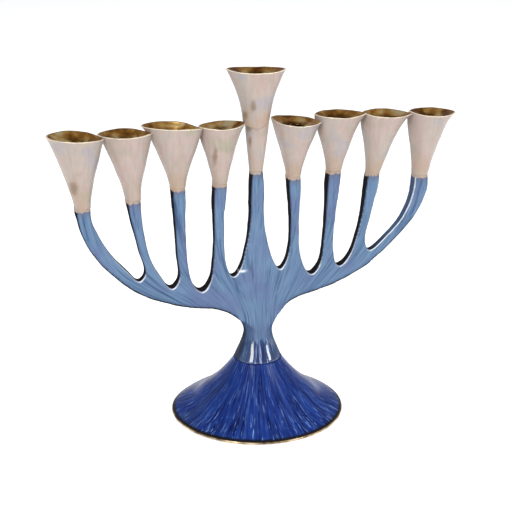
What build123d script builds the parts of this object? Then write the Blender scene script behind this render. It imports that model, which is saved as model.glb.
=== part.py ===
"""Nine-branched Hanukkah menorah: an enamelled casting of nine stems on a bell foot, with flared flower cups.

Millimetres, +Z up. The origin is the centre of the foot on the surface that the menorah stands on.
X runs along the row of cups and Y from front to back.
"""
from build123d import *
import os

# ---- foot ----
FOOT_RADIUS = 48.0
RING_HEIGHT = 1.4
RING_INNER_RADIUS = 44.0
LEDGE_INNER_RADIUS = 40.0
LEDGE_HEIGHT = 0.5
FELT_GAP = 0.1
BELL_HEIGHT = 31.0
BELL_EDGE_RADIUS = 47.3
BELL_WALL = 2.4
# how far the inside of the bell is drawn in, as a share of the wall
INNER_SHIFT = 0.75
# radius and height of points down the bell's outside, from its top to near its edge
BELL_CURVE = ((13.0, BELL_HEIGHT), (16.6, 26.0), (20.7, 21.0), (25.5, 16.0), (31.8, 11.0), (38.4, 6.4),
              (45.6, 2.4))
BOSS_RADIUS = 9.5
BOSS_BOTTOM = 18.0

# ---- the bolt that holds the branches on the foot ----
SPIGOT_RADIUS = 5.0
SPIGOT_LENGTH = 7.0
SPIGOT_CLEARANCE = 0.05
BOLT_RADIUS = 3.0
THREAD_CLEARANCE = 0.04
BOLT_HOLE_RADIUS = 3.3
BOLT_TOP = 50.0
BOLT_HOLE_TOP = 51.0
BOLT_HEAD_RADIUS = 5.2
BOLT_HEAD_HEIGHT = 4.0
WASHER_RADIUS = 6.5
WASHER_THICKNESS = 1.2

# ---- branch casting ----
# outer end of the casting on each side, from the outer stem down to the neck: (x, z)
LEFT_FLANK = ((-97.2, 119.0), (-94.8, 110.0), (-91.2, 102.7), (-85.8, 94.6), (-77.4, 85.4), (-69.5, 78.6),
              (-61.8, 73.8), (-54.4, 70.2), (-46.6, 67.2), (-38.8, 65.2), (-31.0, 64.0), (-23.0, 62.6),
              (-15.6, 59.4), (-10.8, 54.6), (-8.4, 49.5))
RIGHT_FLANK = ((96.2, 115.2), (91.9, 106.4), (82.5, 95.2), (74.4, 87.7), (66.2, 81.1), (57.8, 76.2),
               (49.6, 72.7), (41.2, 69.9), (32.9, 67.8), (24.5, 66.1), (17.3, 63.6), (12.9, 59.8),
               (10.5, 54.6), (8.9, 49.5))
# radius and height of points down the neck, from its waist to its seat on the bell
NECK_CURVE = ((8.2, 46.3), (9.0, 42.0), (10.8, 36.5), (13.0, BELL_HEIGHT))
# half the width of the block that the casting is cut from, and how much deeper than the neck it starts
CASTING_REACH = 140.0
BLANK_SPARE = 1.0
# the eight gaps between neighbouring stems, each as points down one side, round the bottom and up the other
GAPS = (
    ((-91.0, 123.1), (-88.4, 114.1), (-83.8, 104.7), (-77.6, 95.4), (-70.8, 87.8), (-65.6, 83.4),
     (-62.8, 86.4), (-63.8, 94.6), (-66.8, 106.4), (-69.6, 118.9)),
    ((-63.8, 118.0), (-61.8, 104.0), (-58.6, 92.5), (-53.4, 83.1), (-47.9, 77.4), (-44.4, 81.5),
     (-44.3, 91.0), (-45.2, 103.0), (-46.0, 118.0)),
    ((-40.3, 118.0), (-39.9, 100.0), (-38.6, 85.0), (-35.6, 76.7), (-31.6, 73.6), (-27.8, 77.1),
     (-25.3, 86.0), (-24.2, 99.0), (-24.3, 116.0)),
    ((-18.9, 116.0), (-18.9, 100.0), (-17.7, 87.5), (-13.7, 80.3), (-10.3, 83.7), (-7.6, 91.6),
     (-5.5, 101.0), (-4.2, 112.0), (-3.8, 125.0)),
    ((3.1, 125.0), (3.4, 112.0), (4.8, 101.0), (7.1, 92.1), (9.5, 85.7), (12.7, 81.8), (16.0, 85.7),
     (18.2, 94.0), (18.8, 104.0), (18.3, 118.0)),
    ((23.5, 118.0), (23.3, 101.0), (24.2, 89.6), (26.8, 81.1), (30.7, 77.1), (34.8, 80.5), (37.2, 88.6),
     (38.2, 98.0), (39.0, 112.0)),
    ((44.6, 114.0), (43.5, 100.0), (43.5, 88.0), (47.0, 80.1), (51.4, 83.1), (55.4, 90.5), (58.2, 100.1),
     (60.4, 112.0)),
    ((65.8, 112.9), (63.4, 102.0), (62.1, 92.6), (64.7, 87.4), (69.5, 89.8), (75.8, 95.6), (82.2, 102.5),
     (86.8, 110.5)),
)
# half the casting's thickness at each height, from the round neck up to the stem tops
HALF_DEPTH = (*reversed(NECK_CURVE), (8.2, 50.0), (7.9, 55.0), (6.7, 61.0), (5.0, 68.0), (3.7, 76.0),
              (3.1, 86.0), (3.0, 100.0), (3.1, 114.0), (3.7, 127.0), (3.9, 140.0))
# radius at each height of the turned envelope that rounds the neck into the flat fan
NECK_ENVELOPE = (*reversed(NECK_CURVE), (8.7, 50.0), (11.2, 54.0), (16.4, 57.5), (30.0, 60.5), (60.0, 65.5),
                 (130.0, 84.0))

# ---- cups ----
# name, stem top x and z, rim centre x and z, half length and half width of the opening, turn of the
# opening about the upright in degrees, and radius at the bottom
CUPS = (
    ("cup_1", -94.4, 126.9, -97.2, 164.8, 14.5, 11.0, -19, 4.2),
    ("cup_2", -67.6, 128.9, -70.9, 164.4, 13.6, 9.6, -13, 3.9),
    ("cup_3", -43.5, 133.4, -46.1, 166.4, 15.5, 8.6, -21, 4.0),
    ("cup_4", -20.4, 133.7, -19.4, 165.5, 12.5, 9.3, -2, 3.9),
    ("cup_5", 20.6, 134.1, 21.8, 164.4, 13.4, 10.6, -21, 3.9),
    ("cup_6", 43.5, 135.3, 47.1, 166.0, 14.0, 9.2, -10, 4.1),
    ("cup_7", 66.2, 132.0, 73.6, 164.4, 13.5, 9.1, -14, 4.0),
    ("cup_8", 94.0, 128.7, 100.2, 163.4, 12.8, 8.9, -13, 4.5),
)
SHAMASH_CUP = ("shamash_cup", -0.3, 165.4, -0.3, 193.6, 15.4, 8.8, -11, 6.6)
STEM_TOP_MARGIN = 0.3
# how a cup opens: (height, widening, flattening), each from 0 at its bottom to 1 at its rim
FLARE = ((0.0, 0.0, 0.0), (0.20, 0.12, 0.0), (0.40, 0.30, 0.14), (0.60, 0.51, 0.40), (0.80, 0.735, 0.74),
         (1.0, 1.0, 1.0))
SHAMASH_FLARE = ((0.0, 0.0, 0.0), (0.20, 0.09, 0.0), (0.40, 0.23, 0.12), (0.56, 0.38, 0.32),
                 (0.72, 0.58, 0.56), (0.86, 0.78, 0.80), (1.0, 1.0, 1.0))
COLLAR_BOTTOM = (-0.4, 139.0)
COLLAR_RADII = ((3.6, 139.0), (4.2, 147.0), (5.1, 155.0), (6.1, 161.5), (6.6, 165.4))

# ---- brass candle liners ----
LINER_EDGE = 0.9
DISH_EDGE = 1.5
DISH_DEPTH = 3.6
# how the dish narrows: (share of its depth, share of the way from the throat out to the rim)
DISH_SHAPE = ((0.0, 1.0), (0.45, 0.52), (0.8, 0.16), (1.0, 0.0))
LINER_DEPTH = 5.0
SOCKET_RADIUS = 5.0
SOCKET_LENGTH = 10.0
SOCKET_LAP = 0.6
LINER_WALL = 1.0

# ---- studs that fix the cups ----
STUD_RADIUS = 1.95
STUD_CLEARANCE = 0.05
STUD_REACH = 6.0
STUD_HOLE_SPARE = 0.5


def front_face(edges):
    """A face in the upright plane of the stems, from edges drawn in (x, z)."""
    return Plane.XZ * make_face(edges)


def turned(profile):
    """A solid of revolution about the upright axis, from a face drawn in (radius, z)."""
    return revolve(Plane.XZ * make_face(profile), Axis.Z, 360)


def upright_cylinder(radius, bottom, top):
    return Pos(0, 0, (bottom + top) / 2) * Cylinder(radius, top - bottom)


def leaning_cylinder(radius, length, start, direction):
    """A cylinder of a given length from its start point along a direction."""
    return extrude(Plane(origin=start, z_dir=direction) * Circle(radius), length)


def lens(x, z, half_length, half_width, turn):
    """A level opening bounded by two arcs that meet in a tip at each end; equal halves make a circle."""
    tip_a, tip_b = (-half_length, 0), (half_length, 0)
    outline = ThreePointArc(tip_a, (0, half_width), tip_b) + ThreePointArc(tip_b, (0, -half_width), tip_a)
    return Pos(x, 0, z) * Rot(0, 0, turn) * make_face(outline)


def lean(cup):
    """Unit vector from the bottom of a cup to the centre of its rim."""
    _, x0, z0, x1, z1 = cup[:5]
    return Vector(x1 - x0, 0, z1 - z0).normalized()


def socket_x(cup):
    """Where the upright candle socket stands: on the cup's axis at half the socket's length."""
    _, x0, z0, x1, z1 = cup[:5]
    return x1 - (x1 - x0) * (DISH_DEPTH + SOCKET_LENGTH / 2) / (z1 - z0)


def cup_outside(cup, flare):
    """The solid outer form of a flared cup, round at the bottom and lens-shaped at the rim."""
    _, x0, z0, x1, z1, half_length, half_width, turn, bottom_radius = cup
    sections = []
    for height, widening, flattening in flare:
        length = bottom_radius + (half_length - bottom_radius) * widening
        width = length * (1 - (1 - half_width / half_length) * flattening)
        sections.append(lens(x0 + (x1 - x0) * height, z0 + (z1 - z0) * height, length, width, turn))
    return loft(sections)


def dish(cup, edge, throat_radius, depth):
    """The flared hollow inside a rim, from a lens set in by edge to the round throat of the socket."""
    _, _, _, x1, z1, half_length, half_width, turn, _ = cup
    long_half, wide_half = half_length - edge, half_width - edge
    sections = []
    for share, spread in DISH_SHAPE:
        x = x1 + (socket_x(cup) - x1) * share
        length = throat_radius + (long_half - throat_radius) * spread
        width = throat_radius + (wide_half - throat_radius) * spread
        sections.append(lens(x, z1 - depth * share, length, width, turn))
    return loft(sections)


def socket(cup, radius, extra):
    """The round upright candle hole below the dish, deeper by extra for the liner's outside."""
    throat = cup[4] - DISH_DEPTH
    hole = upright_cylinder(radius, throat - SOCKET_LENGTH - extra, throat + SOCKET_LAP)
    return Pos(socket_x(cup), 0, 0) * hole


def liner_outside(cup):
    return dish(cup, LINER_EDGE, SOCKET_RADIUS + LINER_WALL, LINER_DEPTH) + socket(
        cup, SOCKET_RADIUS + LINER_WALL, LINER_WALL)


def candle_liner(cup):
    """The brass liner: a flared dish on a blind candle socket."""
    hollow = dish(cup, DISH_EDGE, SOCKET_RADIUS, DISH_DEPTH) + socket(cup, SOCKET_RADIUS, 0)
    return liner_outside(cup) - hollow


def stud_centres():
    """Where each stud sits and the way it points: one under every cup and one under the collar."""
    places = [(Vector(cup[1], 0, cup[2]), lean(cup)) for cup in CUPS]
    places.append((Vector(COLLAR_BOTTOM[0], 0, COLLAR_BOTTOM[1]), Vector(0, 0, 1)))
    places.append((Vector(SHAMASH_CUP[1], 0, SHAMASH_CUP[2]), Vector(0, 0, 1)))
    return places


def studs(radius, reach):
    return [leaning_cylinder(radius, 2 * reach, at - up * reach, up) for at, up in stud_centres()]


def cut_stud_holes(piece):
    for hole in studs(STUD_RADIUS + STUD_CLEARANCE, STUD_REACH + STUD_HOLE_SPARE):
        piece -= hole
    return piece


def flower_cup(cup, flare):
    return cut_stud_holes(cup_outside(cup, flare) - liner_outside(cup))


def shamash_collar():
    """The lower bloom that carries the raised cup above the others."""
    x = COLLAR_BOTTOM[0]
    sections = [lens(x, z, radius, radius, 0) for radius, z in COLLAR_RADII]
    return cut_stud_holes(loft(sections))


def stem_tops():
    """Left end, right end and height of the flat top of each stem, from left to right."""
    seats = [(cup[1], cup[2], cup[8]) for cup in CUPS]
    seats.insert(4, (COLLAR_BOTTOM[0], COLLAR_BOTTOM[1], COLLAR_RADII[0][0]))
    return [(x - r + STEM_TOP_MARGIN, x + r - STEM_TOP_MARGIN, z) for x, z, r in seats]


def fan_outline():
    """The front outline of the branch casting as one closed run of edges."""
    tops = stem_tops()
    first, last = tops[0], tops[-1]
    neck_left = [(-radius, z) for radius, z in NECK_CURVE]
    edges = [Spline((first[0], first[2]), *LEFT_FLANK, *neck_left), Line(neck_left[-1], NECK_CURVE[-1]),
             Spline((last[1], last[2]), *RIGHT_FLANK, *NECK_CURVE)]
    for left, right, z in tops:
        edges.append(Line((left, z), (right, z)))
    for here, there, gap in zip(tops, tops[1:], GAPS):
        edges.append(Spline((here[1], here[2]), *gap, (there[0], there[2])))
    return edges


def fan_blank():
    """The front outline of the stems, drawn out much deeper than the casting is."""
    return extrude(front_face(fan_outline()), NECK_CURVE[-1][0] + BLANK_SPARE, both=True)


def depth_limit():
    """A block whose side view is the casting's: thick at the neck and thin in the stems."""
    front = Spline(*HALF_DEPTH)
    back = Spline(*[(-radius, z) for radius, z in HALF_DEPTH])
    foot, top = HALF_DEPTH[0], HALF_DEPTH[-1]
    side = make_face([front, back, Line((-top[0], top[1]), top), Line((-foot[0], foot[1]), foot)])
    return extrude(Plane.YZ * side, CASTING_REACH, both=True)


def neck_envelope():
    """A turned body that is round at the neck and opens out wider than the stems above it."""
    top = HALF_DEPTH[-1][1]
    start, end = NECK_ENVELOPE[0], NECK_ENVELOPE[-1]
    return turned([Spline(*NECK_ENVELOPE), Line((0, start[1]), start), Line((0, start[1]), (0, top)),
                   Line((0, top), (end[0], top)), Line((end[0], top), end)])


def branch_casting():
    """Nine flat-sided stems that grow out of one web and a round neck, with a spigot into the foot."""
    casting = fan_blank() & depth_limit() & neck_envelope()
    casting += upright_cylinder(SPIGOT_RADIUS, BELL_HEIGHT - SPIGOT_LENGTH, BELL_HEIGHT)
    casting -= upright_cylinder(BOLT_RADIUS + THREAD_CLEARANCE, BELL_HEIGHT - SPIGOT_LENGTH, BOLT_HOLE_TOP)
    return cut_stud_holes(casting)


def bell_body(curve, edge):
    """A solid bell under a curve of (radius, z) points that ends at its bottom edge."""
    top, bottom = curve[0][1], edge[1]
    return turned([Spline(*curve, edge), Line((0, top), curve[0]), Line(edge, (0, bottom)),
                   Line((0, bottom), (0, top))])


def base_shell():
    """The bell foot: a thin trumpet-shaped shell with a boss inside for the tie bolt."""
    inner_curve = [(radius - BELL_WALL * INNER_SHIFT, z - BELL_WALL) for radius, z in BELL_CURVE[:-1]]
    shell = bell_body(BELL_CURVE, (BELL_EDGE_RADIUS, RING_HEIGHT))
    shell -= bell_body(inner_curve, (BELL_EDGE_RADIUS - BELL_WALL, RING_HEIGHT))
    shell += upright_cylinder(BOSS_RADIUS, BOSS_BOTTOM, BELL_HEIGHT - BELL_WALL / 2)
    shell -= upright_cylinder(BOLT_HOLE_RADIUS, BOSS_BOTTOM, BELL_HEIGHT)
    return shell - upright_cylinder(SPIGOT_RADIUS + SPIGOT_CLEARANCE, BELL_HEIGHT - SPIGOT_LENGTH, BELL_HEIGHT)


def foot_ring():
    """The bright ring under the bell's edge, with a thin ledge above the felt."""
    ring = upright_cylinder(FOOT_RADIUS, 0, RING_HEIGHT) - upright_cylinder(LEDGE_INNER_RADIUS, 0, RING_HEIGHT)
    return ring - upright_cylinder(RING_INNER_RADIUS, 0, RING_HEIGHT - LEDGE_HEIGHT)


def felt_pad():
    return upright_cylinder(RING_INNER_RADIUS - FELT_GAP, 0, RING_HEIGHT - LEDGE_HEIGHT)


def tie_washer():
    return (upright_cylinder(WASHER_RADIUS, BOSS_BOTTOM - WASHER_THICKNESS, BOSS_BOTTOM)
            - upright_cylinder(BOLT_HOLE_RADIUS, BOSS_BOTTOM - WASHER_THICKNESS, BOSS_BOTTOM))


def tie_bolt():
    """A hexagon-head bolt, up through the foot into the neck of the branches."""
    seat = BOSS_BOTTOM - WASHER_THICKNESS
    head = extrude(Pos(0, 0, seat - BOLT_HEAD_HEIGHT) * RegularPolygon(BOLT_HEAD_RADIUS, 6), BOLT_HEAD_HEIGHT)
    return head + upright_cylinder(BOLT_RADIUS, seat, BOLT_TOP)


def write(name, shape):
    export_step(shape, f"parts/{name}.step")


os.makedirs("parts", exist_ok=True)
write("base_shell", base_shell())
write("foot_ring", foot_ring())
write("felt_pad", felt_pad())
write("tie_washer", tie_washer())
write("tie_bolt", tie_bolt())
write("branch_casting", branch_casting())
write("shamash_collar", shamash_collar())
write("cup_studs", Compound(children=studs(STUD_RADIUS, STUD_REACH)))
for cup in CUPS:
    write(cup[0], flower_cup(cup, FLARE))
    write(cup[0].replace("cup", "liner"), candle_liner(cup))
write("shamash_cup", flower_cup(SHAMASH_CUP, SHAMASH_FLARE))
write("shamash_liner", candle_liner(SHAMASH_CUP))
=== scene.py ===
from math import cos, pi, radians, sin

import bpy
import numpy as np
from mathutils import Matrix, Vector, noise


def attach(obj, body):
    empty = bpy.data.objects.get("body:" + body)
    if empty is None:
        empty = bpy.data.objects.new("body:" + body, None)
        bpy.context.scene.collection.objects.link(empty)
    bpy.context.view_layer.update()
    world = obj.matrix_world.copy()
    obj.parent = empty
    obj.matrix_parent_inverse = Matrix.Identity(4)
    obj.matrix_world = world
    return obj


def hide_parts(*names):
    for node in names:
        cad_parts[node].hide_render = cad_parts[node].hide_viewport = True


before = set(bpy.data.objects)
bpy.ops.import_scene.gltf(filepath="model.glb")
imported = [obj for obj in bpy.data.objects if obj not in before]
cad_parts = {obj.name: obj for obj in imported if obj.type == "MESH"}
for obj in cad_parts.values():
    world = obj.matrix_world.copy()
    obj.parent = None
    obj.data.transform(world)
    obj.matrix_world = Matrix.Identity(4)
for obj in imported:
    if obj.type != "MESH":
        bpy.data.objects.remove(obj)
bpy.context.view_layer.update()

# Looks for the nine-branched menorah. Lengths in this file are millimetres until they reach a mesh.
MM = 0.001

# ---- camera ----
VIEW_AZIMUTH = radians(-17.0)
VIEW_ELEVATION = radians(20.3)
VIEW_DISTANCE = 816.9
VIEW_TARGET = (-0.4, 0.0, 90.1)
LENS = 105.5
SENSOR = 36.0

# ---- foot ----
FOOT_RADIUS = 48.0
RING_HEIGHT = 1.4
RING_INNER_RADIUS = 40.0
FELT_RADIUS = 43.9
FELT_HEIGHT = 0.9
RING_AROUND = 360
FELT_AROUND = 180
# radius and height of points down the bell's outside, from its top to its edge
BELL_CURVE = ((13.0, 31.0), (16.6, 26.0), (20.7, 21.0), (25.5, 16.0), (31.8, 11.0), (38.4, 6.4), (45.6, 2.4),
              (47.3, 1.5))
# its hollow, from the edge up: share of the foot's radius, and height
BELL_HOLLOW = ((0.965, 1.42), (0.90, 2.6), (0.70, 6.5), (0.42, 14.5), (0.20, 24.0))
BELL_AROUND = 600
# where the foot's edge is dented, in degrees, with the dent's spread and its share of the radius
DENT_ANGLE = 128.0
DENT_SPREAD = 26.0
DENT_DEPTH = 0.045
# how far the neck stands to the right of the foot's centre
NECK_SHIFT = 0.5

# ---- cups ----
# stem top x and z, rim centre x and z, half length and half width of the opening, turn of the opening in
# degrees, radius at the bottom
CUPS = {
    "cup_1": (-94.4, 126.9, -97.0, 164.7, 14.9, 11.2, -19, 4.2),
    "cup_2": (-67.6, 128.9, -71.1, 164.5, 14.2, 10.3, -9, 4.0),
    "cup_3": (-43.5, 133.4, -46.4, 166.2, 15.9, 8.9, -19, 4.1),
    "cup_4": (-20.4, 133.7, -18.8, 165.5, 13.2, 9.4, -2, 4.0),
    "cup_5": (20.6, 134.1, 21.8, 164.8, 13.7, 11.3, -22, 4.0),
    "cup_6": (43.5, 135.3, 47.0, 166.2, 14.3, 9.8, -9, 4.2),
    "cup_7": (66.2, 132.0, 73.8, 164.5, 13.6, 9.8, -14, 4.1),
    "cup_8": (94.0, 128.7, 100.2, 163.5, 12.9, 10.0, -13, 4.5),
    "shamash_cup": (-0.3, 165.4, -0.3, 193.9, 15.7, 8.5, -11, 6.9),
}
# how each rim was bent by hand: how far the left tip stands above the right one, how far both tips stand
# above the middle, how pointed the left and right tips are, and how far the body sways sideways
RIMS = {
    "cup_1": (1.5, -0.5, 0.12, 0.80, 0.4),
    "cup_2": (0.4, -0.4, 0.40, 0.85, 1.0),
    "cup_3": (1.4, -0.9, 0.15, 0.90, 2.0),
    "cup_4": (-0.3, 0.5, 0.70, 0.70, -1.8),
    "cup_5": (2.1, 0.7, 0.40, 0.50, -0.6),
    "cup_6": (0.6, 0.1, 0.30, 0.95, -1.6),
    "cup_7": (1.2, 0.1, 0.30, 0.95, -2.8),
    "cup_8": (1.1, 0.5, 0.60, 0.20, -2.8),
    "shamash_cup": (0.8, 0.8, 0.30, 0.30, 0.0),
}
# the raised cup hangs over its collar as a petal, this much lower at the front and back than at the sides
PETAL_DROP = 2.6
# brown marks in the cream, and painted shade on the collar under the petal: cup, x, z, half width and half
# height of each
STAINS_AND_SHADE = (("cup_1", -99.6, 139.5, 3.0, 6.0), ("shamash_cup", -4.2, 176.0, 2.0, 4.0),
          ("shamash_cup", -7.5, 170.5, 1.6, 2.6), ("cup_4", -24.6, 150.0, 1.6, 7.0),
          ("collar", -5.6, 163.0, 1.6, 2.2), ("collar", -4.6, 156.0, 0.9, 4.0))
# how a cup opens: (height, widening, flattening), each from 0 at its bottom to 1 at its rim
FLARE = ((0.0, 0.0, 0.0), (0.20, 0.12, 0.0), (0.40, 0.30, 0.14), (0.60, 0.51, 0.40), (0.80, 0.735, 0.74),
         (0.91, 0.875, 0.90), (1.0, 1.0, 1.0))
SHAMASH_FLARE = ((0.0, 0.0, 0.0), (0.20, 0.09, 0.0), (0.40, 0.23, 0.12), (0.56, 0.38, 0.32),
                 (0.72, 0.58, 0.56), (0.86, 0.78, 0.80), (1.0, 1.0, 1.0))
# the rim in rings: how far in from the edge and how far down, first over the cream, then inside the wall
LIP = ((0.0, 0.16), (0.06, 0.04), (0.20, 0.0), (0.40, 0.06))
INNER_WALL = ((0.7, 0.8), (1.6, 3.0))
# the hollow in the cream that the candle socket hangs in: radius and depth below the rim
SOCKET_HOLLOW = ((5.9, 5.4), (5.55, 12.8), (4.8, 14.5))
CUP_UNEVENNESS = 0.28

# ---- the lining of a cup ----
# its lip: how far in from the cup's edge, and how far above it
LINING_LIP = ((0.20, -0.06), (0.16, 0.06), (0.30, 0.15), (0.52, 0.11))
# its dish, from the lip at share 0 to the socket at share 1, with how wide it still spreads
DISH_CURVE = ((0.0, 1.0), (0.16, 0.84), (0.42, 0.52), (0.74, 0.19), (1.0, 0.0))
DISH_DEPTH = 3.6
DISH_EDGE = 0.8
SOCKET_RADIUS = 5.0
SOCKET_LENGTH = 10.0
# depth below the dish and radius, down inside the socket and back up its hidden outside
SOCKET_INSIDE = ((0.6, 5.08), (1.5, 5.0), (4.0, 5.0), (8.0, 5.0), (9.6, 4.95), (10.0, 4.4), (10.1, 0.3))
SOCKET_OUTSIDE = ((10.5, 4.6), (9.2, 5.35), (3.0, 5.35))

# ---- collar under the raised cup ----
# x and z of the stem's top, and its radius
COLLAR = (-0.4, 139.0, 3.6)
COLLAR_LEAN = 0.5
COLLAR_CURVE = ((3.7, 139.0), (4.6, 147.0), (5.5, 155.0), (6.1, 161.0), (6.4, 165.6))

# ---- branches ----
CASTING_VOXEL = 0.55
COLUMN_WIDTH = 0.5
CASTING_SMOOTHINGS = 11
# the part of a stem's top that is worked on, half its width and its length, and how soon it turns round
TOP_HALF_WIDTH = 9.0
TOP_LENGTH = 16.0
TOP_ROUNDING = 9.0
# how far the enamel stands out from the casting, and how uneven it is
ENAMEL_SWELL = 0.18
ENAMEL_UNEVENNESS = 0.22
# the neck's waist, drawn in by this share of its width
WAIST_HEIGHT = 47.0
WAIST_DRAW = 0.055
# the stems are thinner from front to back where the gaps between them end, by this share
CROTCH_HEIGHT = 94.0
CROTCH_THINNING = 0.22
# how far the right flank draws in above the neck, and how far the left arm's underside rises
FLANK_DRAW = 2.2
UNDERSIDE_LIFT = 1.0
# how far each stem's top runs up into its cup
STEM_OVERLAP = 2.4
# a small painted highlight, a glint on the trunk: x, z, half width and half height
GLINT = (-8.8, 83.2, 1.7, 0.6)

# ---- studio, in metres and watts ----
STUDIO_MIDDLE = (0, 0, 0.10)
# name, place, width and height, power, and whether it shows in reflections
LIGHTS = (("overhead", (0.0, 0.0, 1.6), (2.6, 2.6), 29, False),
          ("left_front", (-0.66, -0.66, 0.49), (0.30, 0.62), 4.5, True),
          ("right_front", (0.66, -0.62, 0.49), (0.24, 0.62), 4.1, True))
SURROUND_COLOUR = (0.95, 0.97, 1.0, 1)
SURROUND_STRENGTH = 0.31
FLOOR_HALF = 6.0
FLOOR_DROP = 0.0003
FLOOR_GLOW = 0.3


# ---------------------------------------------------------------- mesh helpers

def smooth_through(keys, steps):
    """Points of a Catmull-Rom curve through rows of numbers, with steps per span."""
    keys = np.array(keys, float)
    padded = np.vstack([2 * keys[0] - keys[1], keys, 2 * keys[-1] - keys[-2]])
    out = []
    for p0, p1, p2, p3 in zip(padded, padded[1:], padded[2:], padded[3:]):
        for u in np.linspace(0, 1, steps, endpoint=False):
            out.append(0.5 * (2 * p1 + (p2 - p0) * u + (2 * p0 - 5 * p1 + 4 * p2 - p3) * u * u
                              + (3 * p1 - p0 - 3 * p2 + p3) * u ** 3))
    return np.array(out + [keys[-1]])


def wobble(points, size, depth, seed):
    """Smooth unevenness of a hand-made surface at each point, from a bump size and a depth."""
    shift = Vector((seed * 17.3, seed * 5.1, -seed * 9.7))
    return np.array([noise.noise(Vector(p) / size + shift) for p in points]) * depth


def hill(values, middle, spread):
    """A smooth rise to 1 at the middle, from 0 far away."""
    return np.exp(-((values - middle) / spread) ** 2)


def fade(values, start, end):
    """Climbs evenly from 0 at the start to 1 at the end, and stays level beyond them."""
    return np.clip((values - start) / (end - start), 0, 1)


def new_piece(name, verts, faces, node, material):
    """A smooth-shaded mesh object that stands for a CAD node and rides with it."""
    mesh = bpy.data.meshes.new(name)
    mesh.from_pydata([tuple(v * MM) for v in verts], [], faces)
    mesh.shade_smooth()
    piece = bpy.data.objects.new(name, mesh)
    bpy.context.collection.objects.link(piece)
    return dress(piece, node, material)


def dress(piece, node, material):
    """Gives a piece its material and its place in the frame, as the CAD node that it replaces."""
    piece.data.materials.clear()
    piece.data.materials.append(material)
    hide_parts(node)
    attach(piece, "root")
    return piece


def skin(rings):
    """Vertices and faces of a closed surface through equal rings, with a point at the middle of each end."""
    count = len(rings[0])
    verts = [rings[0].mean(axis=0), *np.vstack(rings), rings[-1].mean(axis=0)]
    last = len(verts) - 1
    faces = [(0, 1 + (i + 1) % count, 1 + i) for i in range(count)]
    for row in range(len(rings) - 1):
        a, b = 1 + row * count, 1 + (row + 1) * count
        for i in range(count):
            j = (i + 1) % count
            faces.append((a + i, a + j, b + j, b + i))
    top = 1 + (len(rings) - 1) * count
    faces += [(top + i, top + (i + 1) % count, last) for i in range(count)]
    return np.array(verts), faces


def shell_skin(rings):
    """Vertices and faces of a closed shell through equal rings, with the last joined back to the first."""
    count = len(rings[0])
    faces = []
    for row in range(len(rings)):
        a, b = row * count, (row + 1) % len(rings) * count
        faces += [(a + i, a + (i + 1) % count, b + (i + 1) % count, b + i) for i in range(count)]
    return np.vstack(rings), faces


def level_ring(radii, angles, z):
    """A level ring round the upright axis, with its own radius at each angle."""
    return np.column_stack([radii * np.cos(angles), radii * np.sin(angles), np.full(len(angles), z)])


def add_number(piece, name, values):
    """Stores a number on every vertex for the materials to read."""
    attribute = piece.data.attributes.new(name, "FLOAT", "POINT")
    attribute.data.foreach_set("value", np.asarray(values, np.float32))


# ---------------------------------------------------------------- material helpers

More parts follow.
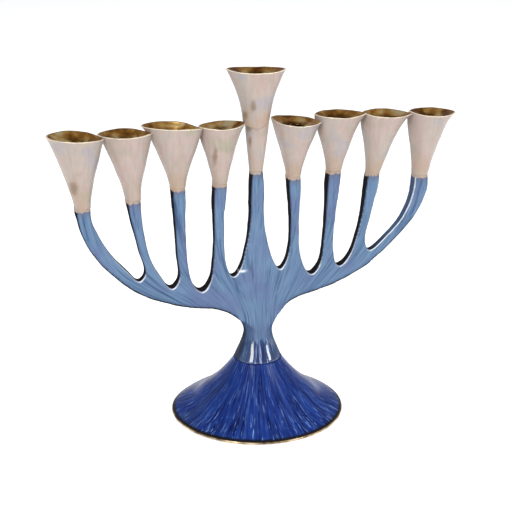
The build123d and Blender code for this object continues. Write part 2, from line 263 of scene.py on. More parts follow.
class Shader:
    """Short calls for building one material's nodes."""

    def __init__(self, name):
        self.material = bpy.data.materials.new(name)
        self.material.use_nodes = True
        self.nodes = self.material.node_tree.nodes
        self.links = self.material.node_tree.links
        self.surface = self.nodes["Principled BSDF"]
        self.place = self.nodes.new("ShaderNodeTexCoord").outputs["Object"]

    def put(self, socket, value):
        """Links a socket, or sets it to a plain value. None leaves it alone."""
        if isinstance(value, bpy.types.NodeSocket):
            self.links.new(value, socket)
        elif value is not None:
            socket.default_value = value

    def set(self, **sockets):
        """Sets Principled sockets, given with underscores for spaces."""
        for name, value in sockets.items():
            self.put(self.surface.inputs[name.replace("_", " ")], value)

    def math(self, operation, a, b=None, c=None, clamp=False):
        node = self.nodes.new("ShaderNodeMath")
        node.operation, node.use_clamp = operation, clamp
        for socket, value in zip(node.inputs, (a, b, c)):
            self.put(socket, value)
        return node.outputs[0]

    def number(self, name):
        """A number stored on the mesh by add_number."""
        node = self.nodes.new("ShaderNodeAttribute")
        node.attribute_name = name
        return node.outputs["Fac"]

    def split(self, vector):
        node = self.nodes.new("ShaderNodeSeparateXYZ")
        self.put(node.inputs[0], vector)
        return node.outputs

    def join(self, x, y, z):
        node = self.nodes.new("ShaderNodeCombineXYZ")
        for socket, value in zip(node.inputs, (x, y, z)):
            self.put(socket, value)
        return node.outputs[0]

    def stretch(self, vector, scale, shift=(0, 0, 0)):
        """Coordinates scaled and moved. A smaller scale draws a pattern out along that axis."""
        node = self.nodes.new("ShaderNodeMapping")
        self.put(node.inputs["Vector"], vector)
        node.inputs["Scale"].default_value = scale
        node.inputs["Location"].default_value = shift
        return node.outputs[0]

    def noise(self, vector, scale, detail=3.0, roughness=0.5, distortion=0.0):
        node = self.nodes.new("ShaderNodeTexNoise")
        self.put(node.inputs["Vector"], vector)
        node.inputs["Scale"].default_value = scale
        node.inputs["Detail"].default_value = detail
        node.inputs["Roughness"].default_value = roughness
        node.inputs["Distortion"].default_value = distortion
        return node.outputs["Fac"]

    def ramp(self, value, *stops):
        """A colour ramp from (position, colour) stops."""
        node = self.nodes.new("ShaderNodeValToRGB")
        self.put(node.inputs[0], value)
        elements = node.color_ramp.elements
        while len(elements) < len(stops):
            elements.new(0.5)
        for element, (position, colour) in zip(elements, stops):
            element.position = position
            element.color = (*colour, 1)
        return node.outputs["Color"]

    def levels(self, value, low, high, new_low=0.0, new_high=1.0):
        """Moves a value smoothly from one range to another, and holds it beyond both ends."""
        node = self.nodes.new("ShaderNodeMapRange")
        node.interpolation_type = "SMOOTHSTEP"
        for name, given in (("Value", value), ("From Min", low), ("From Max", high), ("To Min", new_low),
                            ("To Max", new_high)):
            self.put(node.inputs[name], given)
        return node.outputs[0]

    def mix(self, share, a, b, blend="MIX"):
        """Colour a with a share of colour b."""
        node = self.nodes.new("ShaderNodeMix")
        node.data_type, node.blend_type = "RGBA", blend
        self.put(node.inputs["Factor"], share)
        colour_sockets = [socket for socket in node.inputs if socket.type == "RGBA"]
        for socket, colour in zip(colour_sockets, (a, b)):
            self.put(socket, (*colour, 1) if isinstance(colour, tuple) else colour)
        return [socket for socket in node.outputs if socket.type == "RGBA"][0]

    def bump(self, height, depth_mm, strength, under=None):
        """A surface relief from a height, on top of another one if it is given."""
        node = self.nodes.new("ShaderNodeBump")
        node.inputs["Strength"].default_value = strength
        node.inputs["Distance"].default_value = depth_mm * MM
        self.put(node.inputs["Height"], height)
        self.put(node.inputs["Normal"], under)
        return node.outputs[0]


# ---------------------------------------------------------------- materials

PEARL = (0.385, 0.325, 0.282)
PEARL_PINK = (0.410, 0.314, 0.282)
PEARL_LILAC = (0.340, 0.302, 0.310)
PEARL_GREEN = (0.335, 0.300, 0.235)
PEARL_TAN = (0.365, 0.262, 0.190)
PEARL_SHADE = (0.190, 0.165, 0.148)
STAIN_AND_SHADE = (0.210, 0.140, 0.085)
BLUE = (0.092, 0.156, 0.262)
BLUE_PALE = (0.130, 0.205, 0.320)
BLUE_DEEP = (0.045, 0.080, 0.160)
BLUE_VIOLET = (0.110, 0.145, 0.265)
JOINT_GREY = (0.120, 0.118, 0.160)
WALL_PATINA_AND_SHADE = (0.014, 0.012, 0.014)
EDGE_HIGHLIGHT = (0.88, 0.90, 0.94)
WORN_LIP = (0.74, 0.64, 0.48)
# colour ramps: a position from 0 to 1, and the colour there
PEARL_STROKES = ((0.30, (0.91, 0.90, 0.89)), (0.62, (1.03, 1.03, 1.03)))
NECK_STREAKS = ((0.34, (0.005, 0.009, 0.070)), (0.44, (0.010, 0.028, 0.150)), (0.50, (0.014, 0.048, 0.085)),
                (0.55, (0.020, 0.030, 0.150)), (0.62, (0.240, 0.330, 0.520)))
FINE_STROKES = ((0.30, (0.62, 0.64, 0.70)), (0.44, (1, 1, 1)), (0.66, (1.12, 1.10, 1.07)))
COBALT_STROKES = ((0.30, (0.003, 0.006, 0.045)), (0.44, (0.005, 0.018, 0.125)),
                  (0.58, (0.009, 0.035, 0.205)), (0.72, (0.028, 0.080, 0.310)))
COBALT_GREY = (0.022, 0.036, 0.095)
COBALT_PALE = (0.170, 0.275, 0.520)
COBALT_RIM = (0.006, 0.008, 0.016)
GOLD_PATCHES = ((0.34, (0.26, 0.095, 0.018)), (0.46, (0.62, 0.280, 0.060)), (0.58, (0.92, 0.54, 0.160)),
                (0.68, (1.00, 0.80, 0.46)))
GOLD_RECESS_SHADE = (0.080, 0.034, 0.012)
GOLD_HIGHLIGHT = (1.0, 0.70, 0.33)
SOCKET_SHADE = (0.018, 0.010, 0.006)
BACK_LIP_SHADE = (0.130, 0.075, 0.030)
FRONT_LIP_HIGHLIGHT = (0.84, 0.74, 0.56)
RING_PATCHES = ((0.36, (0.150, 0.095, 0.045)), (0.52, (0.55, 0.40, 0.22)), (0.66, (0.80, 0.66, 0.44)))
RING_DARK = (0.020, 0.016, 0.014)
FELT_FIBRES = ((0.30, (0.010, 0.016, 0.040)), (0.70, (0.040, 0.055, 0.105)))
STEEL_MARKS = ((0.3, (0.36, 0.36, 0.37)), (0.7, (0.62, 0.62, 0.60)))
FLOOR_WHITE = (0.93, 0.93, 0.93, 1)
FLOOR_LIGHT = (1, 1, 1, 1)


def pearl_colour(s, rise):
    """Cream with drifting pink, lilac and green tints, vertical brush marks and a warmer foot."""
    drift = s.noise(s.place, 75, 2, 0.5, 0.4)
    tint = s.ramp(drift, (0.30, PEARL_LILAC), (0.44, PEARL), (0.55, PEARL_PINK), (0.70, PEARL_GREEN))
    stroke = s.noise(s.stretch(s.place, (1, 1, 0.16)), 520, 4, 0.65)
    shade = s.ramp(stroke, *PEARL_STROKES)
    colour = s.mix(1.0, tint, shade, "MULTIPLY")
    patch = s.noise(s.stretch(s.place, (1, 1, 0.6), (3, 1, 2)), 130, 3, 0.6)
    warm = s.math("MULTIPLY", s.levels(rise, 0.45, 0.02), s.levels(patch, 0.35, 0.65, 0.35, 1.0), clamp=True)
    return s.mix(warm, colour, PEARL_TAN), stroke


def pearl_enamel():
    """The cream of the cups, glossy with a soft sheen, with painted shade on their turned-away sides, worn to
    metal at the lip.
    """
    s = Shader("pearl_enamel")
    rise = s.number("rise")
    colour, stroke = pearl_colour(s, rise)
    grain = s.noise(s.place, 380, 3)
    # brown stains, and painted shade on the collar where the petal overhangs it
    mark = s.levels(s.math("ADD", s.number("stain_and_shade"), s.math("MULTIPLY", grain, 0.5)), 0.55, 1.25, 0.0, 0.85)
    colour = s.mix(mark, colour, STAIN_AND_SHADE)
    # painted shade: the cups darken towards their turned-away sides
    colour = s.mix(s.levels(s.number("side"), 0.80, 1.0, 0.0, 0.55), colour, PEARL_SHADE)
    worn = s.levels(s.math("ADD", rise, s.math("MULTIPLY", grain, 0.01)), 1.0, 1.006)
    s.set(Base_Color=s.mix(worn, colour, WORN_LIP))
    blotch = s.noise(s.place, 220, 3)
    s.set(Roughness=s.levels(blotch, 0.3, 0.7, 0.30, 0.46))
    soft = s.bump(s.noise(s.place, 160, 2), 0.25, 0.5)
    s.set(Normal=s.bump(stroke, 0.05, 0.7, soft))
    s.set(Coat_Weight=0.25, Coat_Roughness=0.18, Specular_IOR_Level=0.3)
    return s.material


def around_axis(s, along):
    """Coordinates that run round the upright axis and along it by a given value, and the reach from it."""
    x, y, _ = s.split(s.place)
    reach = s.math("SQRT", s.math("ADD", s.math("MULTIPLY", x, x), s.math("MULTIPLY", y, y)))
    return s.join(s.math("DIVIDE", x, reach), s.math("DIVIDE", y, reach), along), reach


def flow_strokes(s):
    """Brush strokes that rise out of the neck, sweep along the arms and turn upright in the stems."""
    x, y, z = s.split(s.place)
    climb = s.math("EXPONENT", s.math("MULTIPLY", s.math("SUBTRACT", 0.058, z), 55.0))
    spread = s.math("SMOOTH_MAX", s.math("SUBTRACT", 1.0, climb), 0.35, 0.6)
    sweep = s.join(s.math("DIVIDE", x, spread), s.math("MULTIPLY", y, 0.3), s.math("MULTIPLY", z, 0.09))
    return s.noise(sweep, 330, 4, 0.62, 0.25), s.noise(sweep, 700, 3, 0.6)


def neck_glaze(s):
    """Glossy streaks of indigo, teal, violet and pale blue round the neck, and where they end at the top."""
    _, _, z = s.split(s.place)
    around, _ = around_axis(s, s.math("MULTIPLY", z, 9.0))
    streak = s.noise(around, 8.5, 3, 0.66)
    ragged = s.math("MULTIPLY", s.noise(around, 14, 2), 0.012)
    return s.ramp(streak, *NECK_STREAKS), s.levels(s.math("ADD", z, ragged), 0.0495, 0.0478)


def blue_enamel():
    """Light blue brushed enamel with painted shade on its turned sides, dark patina and painted shade on its
    walls, painted highlights on its edges and ragged cream at the stems' tops.
    """
    s = Shader("blue_enamel")
    broad, fine = flow_strokes(s)
    colour = s.ramp(broad, (0.32, BLUE_DEEP), (0.42, BLUE), (0.54, BLUE_PALE), (0.70, BLUE))
    drift = s.noise(s.place, 48, 2)
    colour = s.mix(s.levels(drift, 0.46, 0.66, 0.0, 0.75), colour, BLUE_VIOLET)
    colour = s.mix(1.0, colour, s.ramp(fine, *FINE_STROKES), "MULTIPLY")
    glaze, neck = neck_glaze(s)
    colour = s.mix(neck, colour, glaze)
    below = s.number("below_top")
    ragged = s.noise(s.stretch(s.place, (1, 1, 0.3), (2, 0, 1)), 520, 3, 0.6)
    cream_line = s.math("ADD", s.math("MULTIPLY", ragged, 2.6), 0.1)
    cream = s.levels(s.math("SUBTRACT", cream_line, below), -0.25, 0.35)
    pearl, _ = pearl_colour(s, 0.12)
    colour = s.mix(s.levels(below, 6.0, 0.5, 0.0, 0.6), colour, JOINT_GREY)
    # painted shade: darker blue where the surface turns away, and near the arms' underside
    colour = s.mix(s.levels(s.number("turned"), 0.30, 0.90, 0.0, 0.7), colour, BLUE_DEEP)
    # dark patina on the walls, with painted shade along the underside and painted light on the last stem
    colour = s.mix(s.number("wall"), colour, WALL_PATINA_AND_SHADE)
    # painted highlight: near white on the front edges that face the light, and a painted glint on the trunk
    colour = s.mix(s.number("edge"), colour, EDGE_HIGHLIGHT)
    s.set(Base_Color=s.mix(cream, colour, pearl))
    gloss = s.levels(s.noise(s.place, 260, 3), 0.3, 0.7, 0.28, 0.46)
    s.set(Roughness=s.math("MAXIMUM", s.math("SUBTRACT", gloss, s.math("MULTIPLY", neck, 0.22)), 0.10))
    soft = s.bump(s.noise(s.place, 140, 2), 0.3, 0.5)
    s.set(Normal=s.bump(broad, 0.09, 0.8, soft))
    s.set(Specular_IOR_Level=0.0, Coat_IOR=1.9, Coat_Roughness=0.08)
    front = s.levels(s.number("turned"), 0.92, 0.55, 0.10, 1.0)
    s.set(Coat_Weight=s.math("MULTIPLY", front, s.levels(neck, 0.0, 1.0, 0.02, 1.0)))
    return s.material


def cobalt_enamel():
    """Deep cobalt in long strokes down the bell, with fine pale lines, denser at its top and edge."""
    s = Shader("cobalt_enamel")
    _, _, z = s.split(s.place)
    _, reach = around_axis(s, z)
    around, _ = around_axis(s, s.math("MULTIPLY", reach, 2.6))
    stroke = s.noise(around, 26, 3, 0.6)
    line = s.noise(around, 58, 2, 0.55)
    patch = s.noise(around, 5, 2, 0.5)
    colour = s.mix(s.levels(patch, 0.52, 0.70, 0.0, 0.6), s.ramp(stroke, *COBALT_STROKES), COBALT_GREY)
    ends = s.math("ADD", s.levels(z, 0.010, 0.003), s.levels(z, 0.022, 0.031))
    dense = s.math("ADD", s.levels(patch, 0.62, 0.40, 0.10, 0.65), s.math("MULTIPLY", ends, 0.35))
    pale = s.math("MULTIPLY", s.levels(line, 0.58, 0.68), dense, clamp=True)
    colour = s.mix(pale, colour, COBALT_PALE)
    rim = s.levels(s.math("ADD", z, s.math("MULTIPLY", line, 0.0008)), 0.0027, 0.0022)
    s.set(Base_Color=s.mix(rim, colour, COBALT_RIM))
    s.set(Roughness=s.levels(stroke, 0.3, 0.7, 0.24, 0.42))
    soft = s.bump(patch, 0.4, 0.3)
    s.set(Normal=s.bump(stroke, 0.12, 0.9, soft))
    s.set(Specular_IOR_Level=0.10, Coat_Weight=0.15, Coat_Roughness=0.16)
    return s.material


def polished_brass():
    """Golden brass with uneven gloss, painted highlights on the dish's sides and painted shade deeper in, a
    pale painted highlight at the front lip, brown painted shade at the back lip and black painted shade in
    the hole.
    """
    s = Shader("polished_brass")
    depth = s.number("depth")
    patch = s.noise(s.place, 120, 2, 0.5, 0.3)
    # painted shade: the gold darkens deeper down the dish
    gold = s.mix(s.levels(depth, 0.45, 0.95, 0.0, 0.85), s.ramp(patch, *GOLD_PATCHES), GOLD_RECESS_SHADE)
    # painted highlights on the left and right of the dish
    dish_highlight = s.math("MULTIPLY", s.levels(s.number("side"), 0.45, 0.85), s.levels(depth, 0.30, 0.62))
    gold = s.mix(s.math("MULTIPLY", dish_highlight, s.levels(patch, 0.40, 0.60)), gold, GOLD_HIGHLIGHT)
    # black painted shade down the candle socket's hole
    gold = s.mix(s.levels(depth, 0.95, 1.15), gold, SOCKET_SHADE)
    lip = s.levels(depth, 0.03, 0.0)
    # painted highlight on the front lip, painted shade on the back lip
    lip_highlight_and_shade = s.mix(s.levels(s.number("front"), -0.35, 0.35), BACK_LIP_SHADE, FRONT_LIP_HIGHLIGHT)
    s.set(Base_Color=s.mix(lip, gold, lip_highlight_and_shade), Metallic=s.levels(lip, 0.0, 1.0, 1.0, 0.35))
    s.set(Roughness=s.levels(patch, 0.3, 0.7, 0.20, 0.38))
    scratch = s.noise(s.stretch(s.place, (1, 1, 0.3)), 1500, 2)
    soft = s.bump(s.noise(s.place, 190, 2), 0.6, 0.7)
    s.set(Normal=s.bump(scratch, 0.02, 0.5, soft))
    return s.material


def foot_brass():
    """The rubbed bare edge of the foot, tarnished brown in places."""
    s = Shader("foot_brass")
    _, _, z = s.split(s.place)
    patch = s.noise(s.place, 160, 4, 0.6)
    colour = s.mix(s.levels(z, 0.0009, 0.0013), s.ramp(patch, *RING_PATCHES), RING_DARK)
    s.set(Base_Color=colour, Metallic=0.7)
    s.set(Roughness=s.levels(patch, 0.3, 0.7, 0.46, 0.26))
    s.set(Normal=s.bump(s.noise(s.place, 700, 3), 0.04, 0.6))
    return s.material


def felt():
    """Dense dark blue felt."""
    s = Shader("felt")
    fibre = s.noise(s.place, 2600, 5, 0.8, 1.2)
    s.set(Base_Color=s.ramp(fibre, *FELT_FIBRES), Roughness=0.95)
    s.set(Sheen_Weight=0.4, Sheen_Roughness=0.5, Normal=s.bump(fibre, 0.25, 0.9))
    return s.material


def steel():
    """Plated steel with fine upright marks, for the hidden fasteners."""
    s = Shader("steel")
    mark = s.noise(s.stretch(s.place, (1, 1, 0.2)), 1200, 3)
    s.set(Base_Color=s.ramp(mark, *STEEL_MARKS), Metallic=1.0)
    s.set(Roughness=s.levels(mark, 0.3, 0.7, 0.28, 0.45), Normal=s.bump(mark, 0.02, 0.6))
    return s.material


# ---------------------------------------------------------------- cups

AROUND = 160
ANGLES = np.linspace(0, 2 * pi, AROUND, endpoint=False)
SIDEWAYS = np.abs(np.cos(ANGLES))


def lens_ring(x, z, half_length, half_width, turn, left_point=0.0, right_point=0.0, tilt=0.0, lift=0.0):
    """A lens-shaped ring. A point of 0 is a round end, 1 a sharp tip. Tilt raises the left tip, lift both."""
    share, side = np.cos(ANGLES), np.sin(ANGLES)
    point = np.where(share < 0, left_point, right_point)
    across = half_length * share
    deep = half_width * np.sign(side) * np.abs(side) ** (1 + point)
    angle = radians(turn)
    xs = x + across * cos(angle) - deep * sin(angle)
    ys = across * sin(angle) + deep * cos(angle)
    return np.column_stack([xs, ys, z - tilt / 2 * share + lift * (share ** 2 - 1)])


def round_ring(name, radius, z):
    """A round ring about a cup's candle socket."""
    return lens_ring(socket_x(name), z, radius, radius, CUPS[name][6])


def cup_section(name, height, widening, flattening, grow=0.0):
    """One ring round a cup's outside, at a height from 0 at its bottom to 1 at its rim."""
    x0, z0, x1, z1, half_length, half_width, turn, radius = CUPS[name]
    tilt, lift, left_point, right_point, sway = RIMS[name]
    length = radius + (half_length - radius) * widening
    width = length * (1 - (1 - half_width / half_length) * flattening)
    x = x0 + (x1 - x0) * height + sway * height ** 1.2 * (1 - height ** 8)
    ring = lens_ring(x, z0 + (z1 - z0) * height, length + grow, width + grow, turn, left_point * flattening,
                     right_point * flattening, tilt * height ** 2, lift * height ** 3)
    if name == "shamash_cup":
        ring[:, 2] -= PETAL_DROP * (1 - SIDEWAYS) * max(0.0, 1 - height / 0.25)
    return ring


def wall_section(name, flare, down, inward):
    """A ring inside a cup's wall, this far below the rim and this far in from the outside."""
    height = 1 - down / (CUPS[name][3] - CUPS[name][1])
    heights, widening, flattening = zip(*flare)
    return cup_section(name, height, np.interp(height, heights, widening),
                       np.interp(height, heights, flattening), -inward)


def flower_cup(name, flare, material):
    """The cream outside of a cup, over its lip and down inside, where the lining hides it."""
    x0, _, x1, z1 = CUPS[name][:4]
    seed = list(CUPS).index(name)
    rows = smooth_through(flare, 9)
    rings = [cup_section(name, *row) for row in rows[:-1]]
    rise = [row[0] for row in rows[:-1]]
    for inward, drop in LIP:
        ring = cup_section(name, 1.0, 1.0, 1.0, -inward)
        ring[:, 2] -= drop
        rings.append(ring)
    rings += [wall_section(name, flare, down, inward) for inward, down in INNER_WALL]
    rings += [round_ring(name, radius, z1 - down) for radius, down in SOCKET_HOLLOW]
    rise += [1.0] * (len(rings) - len(rise))
    verts, faces = skin(rings)
    rise = np.concatenate([[0.0], np.repeat(rise, AROUND), [1.0]])
    out = verts - np.outer(rise, [x1 - x0, 0, 0]) - np.array([x0, 0, 0])
    out[:, 2] = 0
    length = np.maximum(np.linalg.norm(out, axis=1, keepdims=True), 1e-6)
    verts = verts + out / length * wobble(verts, 9.0, CUP_UNEVENNESS, seed)[:, None]
    piece = new_piece(name + "_bloom", verts, faces, name, material)
    add_number(piece, "rise", rise)
    add_number(piece, "side", np.concatenate([[0.0], np.tile(SIDEWAYS, len(rings)), [0.0]]))
    add_stains_and_shade(piece, name, verts)


def add_stains_and_shade(piece, name, verts):
    """Marks the brown stains, and the painted shade on the collar, on the front of a bloom."""
    stain_and_shade = np.zeros(len(verts))
    for bloom, x, z, half_width, half_height in STAINS_AND_SHADE:
        if bloom == name:
            stain_and_shade += hill(verts[:, 0], x, half_width) * hill(verts[:, 2], z, half_height)
    add_number(piece, "stain_and_shade", stain_and_shade * (verts[:, 1] < 0))


def dish_ring(name, share, spread):
    """One ring of the shallow flared dish, from the lip at share 0 to the round socket at share 1."""
    _, _, x1, z1, half_length, half_width, turn, _ = CUPS[name]
    tilt, lift, left_point, right_point, _ = RIMS[name]
    length = SOCKET_RADIUS + (half_length - DISH_EDGE - SOCKET_RADIUS) * spread
    width = SOCKET_RADIUS + (half_width - DISH_EDGE - SOCKET_RADIUS) * spread
    x = x1 + (socket_x(name) - x1) * share
    return lens_ring(x, z1 - DISH_DEPTH * share, length, width, turn,
                     left_point * spread, right_point * spread, tilt * spread, lift * spread)


def socket_x(name):
    """Where a cup's upright candle socket stands: on the cup's axis at half the socket's length."""
    x0, z0, x1, z1 = CUPS[name][:4]
    return x1 - (x1 - x0) * (DISH_DEPTH + SOCKET_LENGTH / 2) / (z1 - z0)


def candle_liner(name, flare, material):
    """The golden lining: a thin lip over the cup's edge, a shallow flared dish and the candle socket."""
    throat = CUPS[name][3] - DISH_DEPTH
    rings, depth = [wall_section(name, flare, 0.9, 0.5)], [0.0]
    for inward, lift in LINING_LIP:
        ring = cup_section(name, 1.0, 1.0, 1.0, -inward)
        ring[:, 2] += lift
        rings.append(ring)
        depth.append(0.0)
    for share, spread in smooth_through(DISH_CURVE, 7):
        rings.append(dish_ring(name, share, spread))
        depth.append(share)
    for down, radius in SOCKET_INSIDE + SOCKET_OUTSIDE:
        rings.append(round_ring(name, radius, throat - down))
        depth.append(1.0 + min(1.0, down / 6))
    rings.append(wall_section(name, flare, 2.2, 1.9))
    depth.append(2.0)
    verts, faces = shell_skin(rings)
    verts[:, 2] += wobble(verts, 6.0, 0.25, 20 + list(CUPS).index(name))
    node = name.replace("cup", "liner")
    piece = new_piece(name + "_lining", verts, faces, node, material)
    add_number(piece, "depth", np.repeat(depth, AROUND))
    add_number(piece, "front", np.tile(-np.sin(ANGLES), len(rings)))
    add_number(piece, "side", np.tile(SIDEWAYS, len(rings)))


def shamash_collar(material):
    """The lower bloom, which carries the raised cup under its petals."""
    rings, rise = [], []
    rows = smooth_through(COLLAR_CURVE, 12)
    top = rows[-1][1]
    for radius, z in rows:
        share = (z - COLLAR[1]) / (top - COLLAR[1])
        rings.append(lens_ring(COLLAR[0] + COLLAR_LEAN * share, z, radius, radius, 0))
        rise.append(share * 0.96)
    verts, faces = skin(rings)
    verts[:, 1] *= 1 + wobble(verts, 8.0, 0.03, 41)
    piece = new_piece("collar_bloom", verts, faces, "shamash_collar", material)
    add_number(piece, "rise", np.concatenate([[0.0], np.repeat(rise, AROUND), [0.9]]))
    add_number(piece, "side", np.concatenate([[0.0], np.tile(SIDEWAYS, len(rings)), [0.0]]))
    add_stains_and_shade(piece, "collar", verts)


# ---------------------------------------------------------------- foot

def foot_outline(angles):
    """The foot is a little out of round: its edge draws in by a few percent at the back left."""
    away = (np.degrees(angles) - DENT_ANGLE + 180.0) % 360.0 - 180.0
    return 1 - DENT_DEPTH * hill(away, 0.0, DENT_SPREAD)


def neck_shift(z):
    """How far the hand-set neck stands to the right of the foot's centre at a height."""
    return NECK_SHIFT * fade(z, 0, 16) * fade(z, 62, 50)


def bell(material):
    """The bell foot with fine relief of brushed strokes, a crease under the neck and a hollow inside."""
    angles = np.linspace(0, 2 * pi, BELL_AROUND, endpoint=False)
    shape = foot_outline(angles)
    rng = np.random.default_rng(5)
    stroke = np.zeros(BELL_AROUND)
    for harmonic in range(40, 190, 7):
        stroke += np.sin(harmonic * angles + rng.uniform(0, 2 * pi)) / 5
    rings = []
    rows = smooth_through(BELL_CURVE, 11)
    top_radius = BELL_CURVE[0][0]
    for radius, z in rows:
        share = (radius - top_radius) / (FOOT_RADIUS - top_radius)
        crease = 0.25 * hill(z, 30.7, 0.5) - 1.3 * hill(z, 7, 3.2)
        reach = radius * (1 + (shape - 1) * share ** 2) + stroke * 0.05 * min(1, share * 4) + crease
        rings.append(level_ring(reach, angles, z) + np.array([neck_shift(z), 0, 0]))
    for scale, z in BELL_HOLLOW:
        rings.append(level_ring(FOOT_RADIUS * scale * shape, angles, z))
    verts, faces = skin(rings)
    new_piece("bell", verts, faces, "base_shell", material)


def foot_ring(material):
    """The brass ring round the foot's edge, turned from a section of (radius, z) and a little uneven."""
    r_out, r_in, top = FOOT_RADIUS, RING_INNER_RADIUS, RING_HEIGHT
    r_felt = FELT_RADIUS + 0.1
    section = ((r_in, top), (r_in, 0.95), (r_felt - 0.05, 0.92), (r_felt, 0.0), (r_out - 0.7, 0.0),
               (r_out - 0.15, 0.18), (r_out, 0.6), (r_out - 0.12, 1.05), (r_out - 0.7, 1.32),
               (r_out - 2.5, top))
    angles = np.linspace(0, 2 * pi, RING_AROUND, endpoint=False)
    shape = foot_outline(angles)
    verts, faces = shell_skin([level_ring(r * shape, angles, z) for r, z in section])
    verts[:, 2] += wobble(verts, 14.0, 0.12, 50) * (verts[:, 2] > 0.3)
    new_piece("foot_edge", verts, faces, "foot_ring", material)


def felt_pad(material):
    """A felt disc with a softly rounded edge and a slightly uneven underside."""
    radii = (6, 14, 22, 30, 37, 41, FELT_RADIUS - 0.7, FELT_RADIUS - 0.1)
    underside = [(radius, 0.0) for radius in radii]
    upper_side = [(radius, FELT_HEIGHT - 0.05) for radius in reversed(radii)]
    section = underside + [(FELT_RADIUS, FELT_HEIGHT / 2)] + upper_side
    angles = np.linspace(0, 2 * pi, FELT_AROUND, endpoint=False)
    shape = foot_outline(angles)
    verts, faces = skin([level_ring(radius * shape, angles, z) for radius, z in section])
    low = verts[:, 2] < 0.01
    verts[low, 2] += np.abs(wobble(verts[low], 3.0, 0.12, 61))
    faces = [tuple(reversed(f)) for f in faces]
    new_piece("felt_disc", verts, faces, "felt_pad", material)


# ---------------------------------------------------------------- branches

def apply_modifiers(piece):
    """Makes a piece's modifiers part of its mesh."""
    graph = bpy.context.evaluated_depsgraph_get()
    mesh = bpy.data.meshes.new_from_object(piece.evaluated_get(graph))
    piece.modifiers.clear()
    piece.data = mesh


def height_above_underside(points):
    """How far each point stands above the lowest point of the casting at its own x."""
    columns = np.round(points[:, 0] / COLUMN_WIDTH).astype(int)
    columns -= columns.min()
    lowest = np.full(columns.max() + 1, np.inf)
    np.minimum.at(lowest, columns, points[:, 2])
    return points[:, 2] - lowest[columns]


def softened_casting():
    """The casting's mesh with its edges rounded off, and its points in millimetres and normals as arrays."""
    piece = bpy.data.objects.new("branches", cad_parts["branch_casting"].data.copy())
    bpy.context.collection.objects.link(piece)
    remesh = piece.modifiers.new("remesh", "REMESH")
    remesh.mode, remesh.voxel_size = "VOXEL", CASTING_VOXEL * MM
    soften = piece.modifiers.new("soften", "SMOOTH")
    soften.factor, soften.iterations = 0.5, CASTING_SMOOTHINGS
    apply_modifiers(piece)
    points = np.empty(len(piece.data.vertices) * 3)
    piece.data.vertices.foreach_get("co", points)
    normals = np.empty(len(points))
    piece.data.vertices.foreach_get("normal", normals)
    return piece, points.reshape(-1, 3) / MM, normals.reshape(-1, 3)


def round_stem_tops(points):
    """Rounds each stem towards its cup. Returns every point's depth below its stem top, and x and lean."""
    below = np.full(len(points), 50.0)
    axis, lean = np.zeros(len(points)), np.zeros(len(points))
    tops = []
    for name, (x0, z0, x1, z1, _, _, _, radius) in CUPS.items():
        if name != "shamash_cup":
            tops.append((x0, z0, radius, (x1 - x0) / (z1 - z0)))
    for x, z, radius, slope in tops + [(*COLLAR, 0.0)]:
        near = (np.abs(points[:, 0] - x) < TOP_HALF_WIDTH) & (points[:, 2] > z - TOP_LENGTH)
        below[near] = np.minimum(below[near], z - points[near, 2])
        axis[near], lean[near] = x, slope
        for k in np.flatnonzero(near):
            level = near & (np.abs(points[:, 2] - points[k, 2]) < 0.4)
            centre = (points[level, 0].min() + points[level, 0].max()) / 2
            dx, dy = points[k, 0] - centre, points[k, 1]
            size = (dx * dx + dy * dy) ** 0.5
            share = min(1, max(0, 1 - (z - points[k, 2]) / TOP_ROUNDING)) ** 1.3
            if size > 0.6 * radius:
                grow = 1 + share * (radius / size - 1)
                points[k, 0], points[k, 1] = centre + dx * grow, dy * grow
    return below, axis, lean


def finish_by_hand(points, normals, below, axis, lean):
    """The small unevenness of a hand-finished casting, and the fit of its stems into the cups."""
    points += normals * (ENAMEL_SWELL + wobble(points, 7.0, ENAMEL_UNEVENNESS, 3))[:, None]
    waist = 1 - WAIST_DRAW * hill(points[:, 2], WAIST_HEIGHT, 6.5)
    points[:, :2] *= waist[:, None]
    height = points[:, 2].copy()
    points[:, 1] *= 1 - CROTCH_THINNING * hill(height, CROTCH_HEIGHT, 15)
    points[:, 0] -= FLANK_DRAW * hill(height, 55, 3.2) * fade(points[:, 0], 7, 11)
    points[:, 2] += UNDERSIDE_LIFT * hill(height, 66, 7) * fade(points[:, 0], -13, -25)
    points[:, 0] += neck_shift(points[:, 2])
    # run the tops on up into the cups, so that no groove shows at the joint
    top = fade(below, 1.2, 0)
    points[:, 0] += top * (STEM_OVERLAP * lean - 0.08 * (points[:, 0] - axis))
    points[:, 1] *= 1 - 0.08 * top
    points[:, 2] += STEM_OVERLAP * top


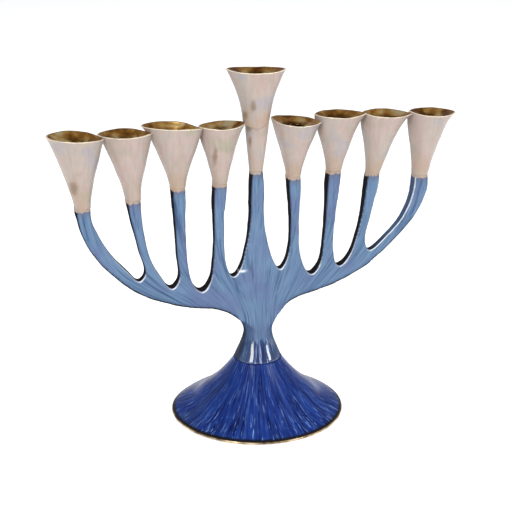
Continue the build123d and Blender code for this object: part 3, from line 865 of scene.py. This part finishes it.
def mark_branches(piece, points, normals, below):
    """Stores where the enamel is: walls of dark patina with painted shade, edges with painted highlights,
    turned-away parts with painted shade, and the stem tops.
    """
    height = points[:, 2]
    # the painted shade along the underside starts above the neck and ends below the top of the last stem on
    # the right
    arms = fade(height, 50, 56) * np.where(points[:, 0] > 0, fade(height, 112, 104), 1)
    above = height_above_underside(points)
    sideways = np.sqrt(normals[:, 0] ** 2 + normals[:, 2] ** 2)
    # how far the surface turns away, or lies near the underside; the enamel darkens with it as painted shade
    turned = np.maximum(sideways, 0.85 * arms * fade(above, 5.5, 0))

    # walls are dark patina with painted shade: near black in the gaps, softer round the neck, and blue again
    # on the last stem, painted as lit there
    flat_part = fade(height, 56, 70)
    softness = np.where(normals[:, 0] < 0, 0.7, 0.4)
    last_stem = fade(points[:, 0], 64, 78)
    wall = fade(sideways, 0.90, 0.98) * (softness + (1 - softness) * flat_part)
    wall *= 1 - 0.8 * last_stem
    # a thin painted shadow line along the underside of the arms
    wall = np.maximum(wall, arms * fade(above, 1.45, 0.85))

    # painted highlight on the front edges where they face up, and all along the last stem
    lit = np.clip(normals[:, 2] * np.where(normals[:, 0] < 0, 2.6, 1.1) - 0.25, 0, 1)
    lit = np.maximum(lit, 0.9 * last_stem * (normals[:, 0] < -0.2))
    edge = np.clip(1.3 - np.abs(sideways - 0.66) / 0.22, 0, 1) * flat_part * lit
    glint_x, glint_z, half_width, half_height = GLINT
    edge += hill(points[:, 0], glint_x, half_width) * hill(height, glint_z, half_height)
    edge = np.clip(edge, 0, 1) * (normals[:, 1] < 0)
    for name, values in (("below_top", below), ("wall", wall), ("turned", turned), ("edge", edge)):
        add_number(piece, name, values)


def branches(material):
    """The stems as one softened casting, with round tops under the cups and an uneven hand finish."""
    piece, points, normals = softened_casting()
    below, axis, lean = round_stem_tops(points)
    finish_by_hand(points, normals, below, axis, lean)
    piece.data.vertices.foreach_set("co", (points * MM).ravel())
    piece.data.update()
    piece.data.shade_smooth()
    dress(piece, "branch_casting", material)
    mark_branches(piece, points, normals, below)


# ---------------------------------------------------------------- studio

def aim(item, target):
    """Turns a camera or a light towards a point."""
    item.rotation_mode = "QUATERNION"
    item.rotation_quaternion = (Vector(target) - item.location).to_track_quat("-Z", "Y")


def add_camera():
    """The camera at the photograph's viewing angle."""
    data = bpy.data.cameras.new("camera")
    data.lens, data.sensor_width, data.clip_end = LENS, SENSOR, 20
    camera = bpy.data.objects.new("camera", data)
    bpy.context.collection.objects.link(camera)
    target = Vector(VIEW_TARGET) * MM
    away = Vector((sin(VIEW_AZIMUTH) * cos(VIEW_ELEVATION), -cos(VIEW_AZIMUTH) * cos(VIEW_ELEVATION),
                   sin(VIEW_ELEVATION)))
    camera.location = target + away * VIEW_DISTANCE * MM
    aim(camera, target)
    bpy.context.scene.camera = camera


def add_light(name, place, size, power, in_reflections):
    """A soft rectangular light that faces the object."""
    data = bpy.data.lights.new(name, "AREA")
    data.shape = "RECTANGLE"
    data.size, data.size_y = size
    data.energy = power
    light = bpy.data.objects.new(name, data)
    light.location = place
    light.visible_glossy = in_reflections
    aim(light, STUDIO_MIDDLE)
    bpy.context.collection.objects.link(light)


def add_studio():
    """A pale floor, a wide soft light overhead, a tall strip on each side in front, and an even surround."""
    for light in LIGHTS:
        add_light(*light)
    world = bpy.data.worlds.new("surround")
    world.use_nodes = True
    background = world.node_tree.nodes["Background"]
    background.inputs["Color"].default_value = SURROUND_COLOUR
    background.inputs["Strength"].default_value = SURROUND_STRENGTH
    bpy.context.scene.world = world
    bpy.context.scene.view_settings.view_transform = "Standard"

    mesh = bpy.data.meshes.new("floor")
    corners = [(x * FLOOR_HALF, y * FLOOR_HALF, 0) for x, y in ((-1, -1), (1, -1), (1, 1), (-1, 1))]
    mesh.from_pydata(corners, [], [(0, 1, 2, 3)])
    floor = bpy.data.objects.new("floor", mesh)
    bpy.context.collection.objects.link(floor)
    s = Shader("floor_paper")
    s.set(Base_Color=FLOOR_WHITE, Roughness=0.9, Emission_Color=FLOOR_LIGHT, Emission_Strength=FLOOR_GLOW)
    mesh.materials.append(s.material)
    floor.location.z = -FLOOR_DROP


# ---------------------------------------------------------------- build

pearl, brass = pearl_enamel(), polished_brass()
for cup_name in CUPS:
    cup_flare = SHAMASH_FLARE if cup_name == "shamash_cup" else FLARE
    flower_cup(cup_name, cup_flare, pearl)
    candle_liner(cup_name, cup_flare, brass)
shamash_collar(pearl)
bell(cobalt_enamel())
foot_ring(foot_brass())
felt_pad(felt())
branches(blue_enamel())
hidden_steel = steel()
for node_name in ("tie_bolt", "tie_washer", "cup_studs"):
    for material_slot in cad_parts[node_name].material_slots:
        material_slot.material = hidden_steel
add_camera()
add_studio()
